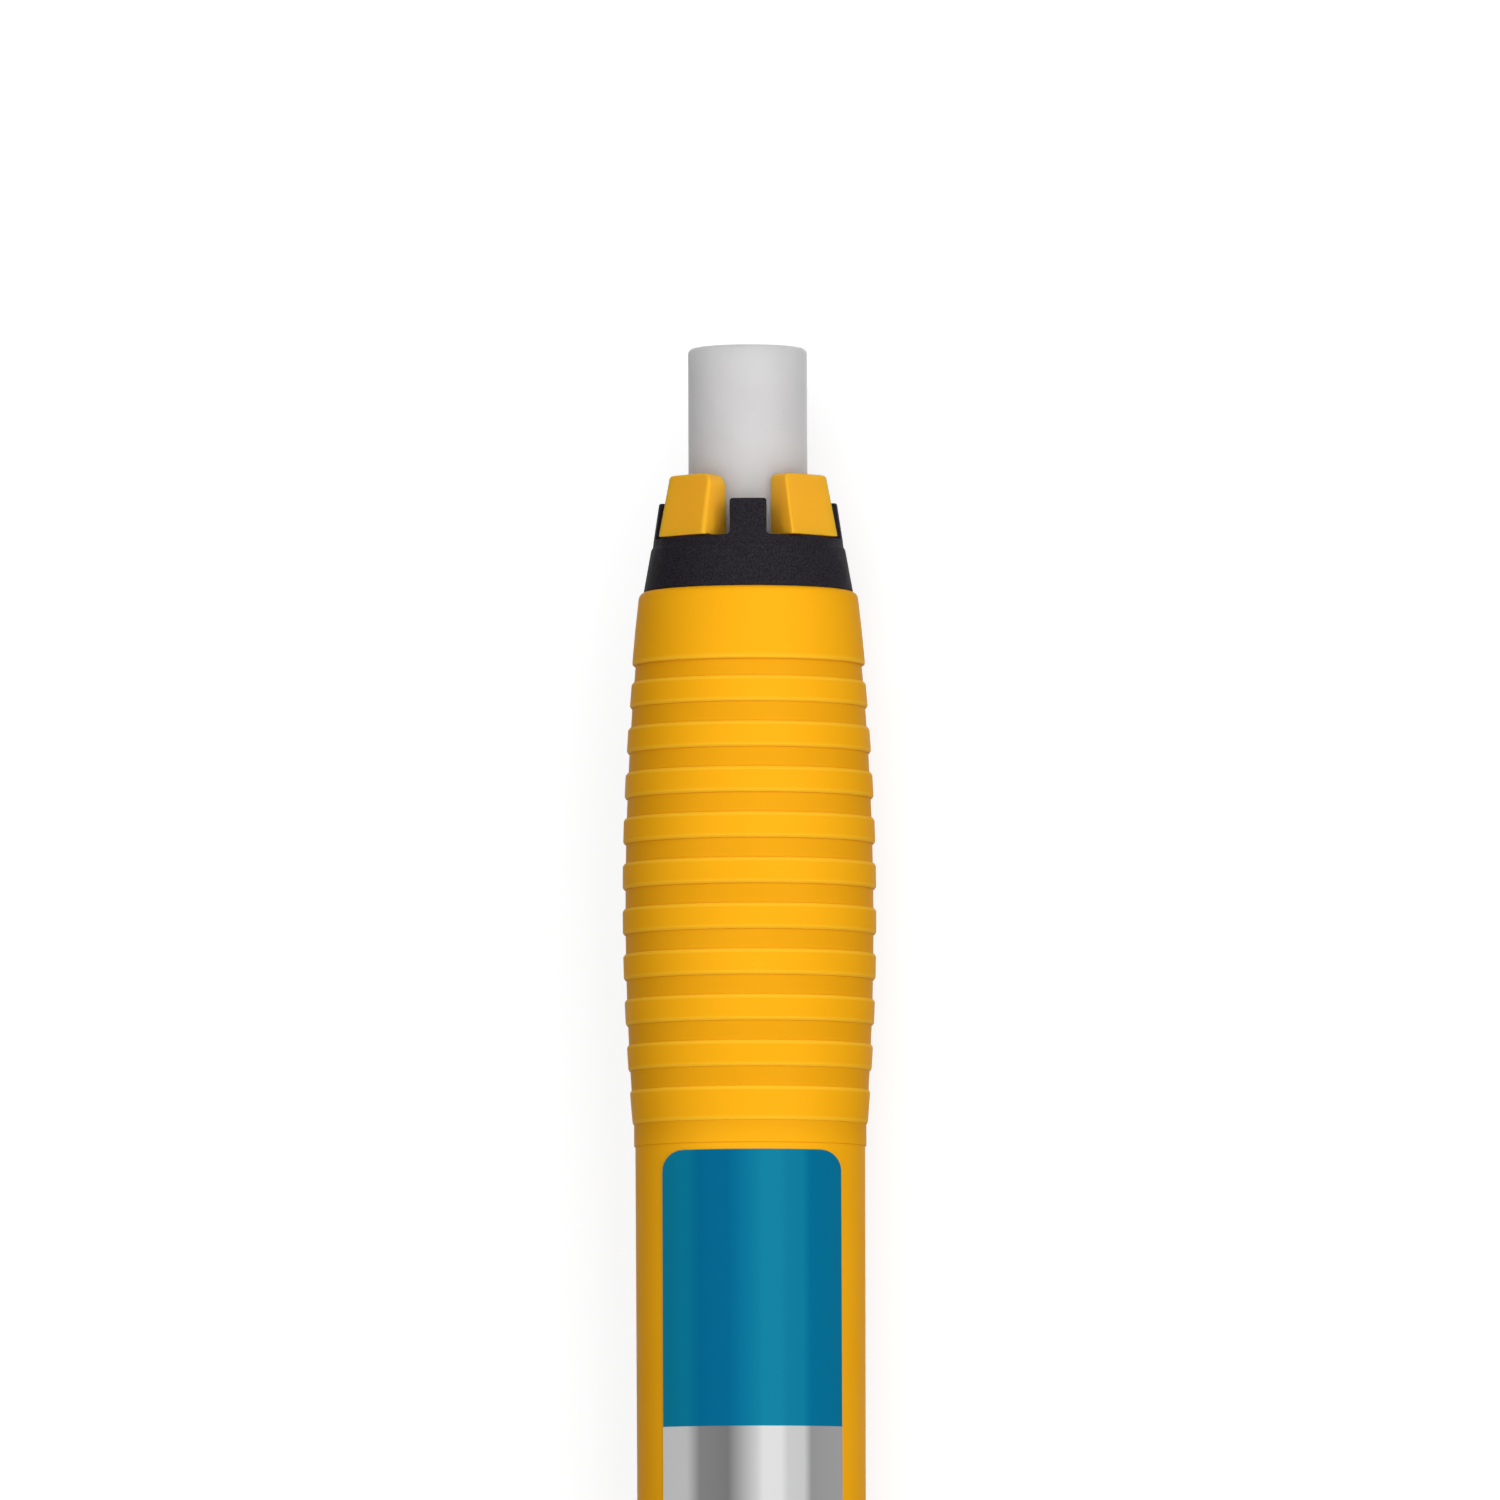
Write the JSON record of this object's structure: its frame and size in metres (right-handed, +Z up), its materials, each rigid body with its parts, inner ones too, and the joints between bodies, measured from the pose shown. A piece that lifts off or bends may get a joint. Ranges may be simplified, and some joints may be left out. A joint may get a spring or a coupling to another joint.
{
  "type": "eraser holder",
  "caption": "Push-button holder for a round eraser stick: ribbed barrel, nose ring with fingers, opening collet jaws, refill tube, spring, button and pocket clip.",
  "frame": {"origin": "on the desk surface under the middle of the holder's bounding box, as it lies on grip, clip collar and clip", "axes": "+X along the barrel towards the eraser, +Z up, clip down towards -Y, label towards +Z and -Y"},
  "size_m": [0.1242, 0.0134, 0.0106],
  "materials": {
    "yellow_plastic": "satin moulded",
    "amber_plastic": "satin moulded",
    "black_plastic": "finely grained",
    "eraser_vinyl": "matt, faintly smudged",
    "tube_plastic": "natural, unpainted",
    "spring_steel": "drawn wire",
    "label_film": "metallic film, teal panel and silver panel"
  },
  "bodies": {
    "holder": {"barrel": "yellow_plastic", "nose_ring": "black_plastic", "label": "label_film", "return_spring": "spring_steel", "tail_bush": "black_plastic", "clip_collar": "black_plastic"},
    "plunger": {"collet_sleeve": "amber_plastic", "refill_tube": "tube_plastic", "spring_collar": "tube_plastic", "push_button": "black_plastic"},
    "jaw_1": {"collet_jaw_1": "amber_plastic"},
    "jaw_2": {"collet_jaw_2": "amber_plastic"},
    "jaw_3": {"collet_jaw_3": "amber_plastic"},
    "jaw_4": {"collet_jaw_4": "amber_plastic"},
    "refill": {"eraser_refill": "eraser_vinyl"},
    "clip": {"clip_arm": "black_plastic"}
  },
  "joints": [
    {"name": "button_press", "type": "slide", "parent": "holder", "child": "plunger", "axis": [1, 0, 0], "range_m": [0, 0.004], "stiffness_N_per_m": 296, "springref_m": -0.008, "deforming": ["return_spring"]},
    {"name": "jaw_1_open", "type": "hinge", "parent": "plunger", "child": "jaw_1", "pos_m": [0.03795, -0.00127, 0.00614], "axis": [0, -0.2954, -0.9554], "range_deg": [0, 2]},
    {"name": "jaw_2_open", "type": "hinge", "parent": "plunger", "child": "jaw_2", "pos_m": [0.03795, 0.00056, 0.00268], "axis": [0, 0.9554, -0.2954], "range_deg": [0, 2]},
    {"name": "jaw_3_open", "type": "hinge", "parent": "plunger", "child": "jaw_3", "pos_m": [0.03795, 0.00401, 0.00451], "axis": [0, 0.2954, 0.9554], "range_deg": [0, 2]},
    {"name": "jaw_4_open", "type": "hinge", "parent": "plunger", "child": "jaw_4", "pos_m": [0.03795, 0.00219, 0.00797], "axis": [0, -0.9554, 0.2954], "range_deg": [0, 2]},
    {"name": "refill_feed", "type": "slide", "parent": "plunger", "child": "refill", "axis": [1, 0, 0], "range_m": [-0.0054, 0.05]},
    {"name": "clip_flex", "type": "hinge", "parent": "holder", "child": "clip", "pos_m": [-0.0451, -0.00532, 0.00179], "axis": [0, 0.4667, -0.8844], "range_deg": [0, 3], "stiffness_Nm_per_rad": 0.2, "springref_deg": -2.86}
  ],
  "couplings": [
    {"joint": "jaw_1_open", "follows": "button_press", "rad_per_m": 8.726},
    {"joint": "jaw_2_open", "follows": "button_press", "rad_per_m": 8.726},
    {"joint": "jaw_3_open", "follows": "button_press", "rad_per_m": 8.726},
    {"joint": "jaw_4_open", "follows": "button_press", "rad_per_m": 8.726}
  ]
}
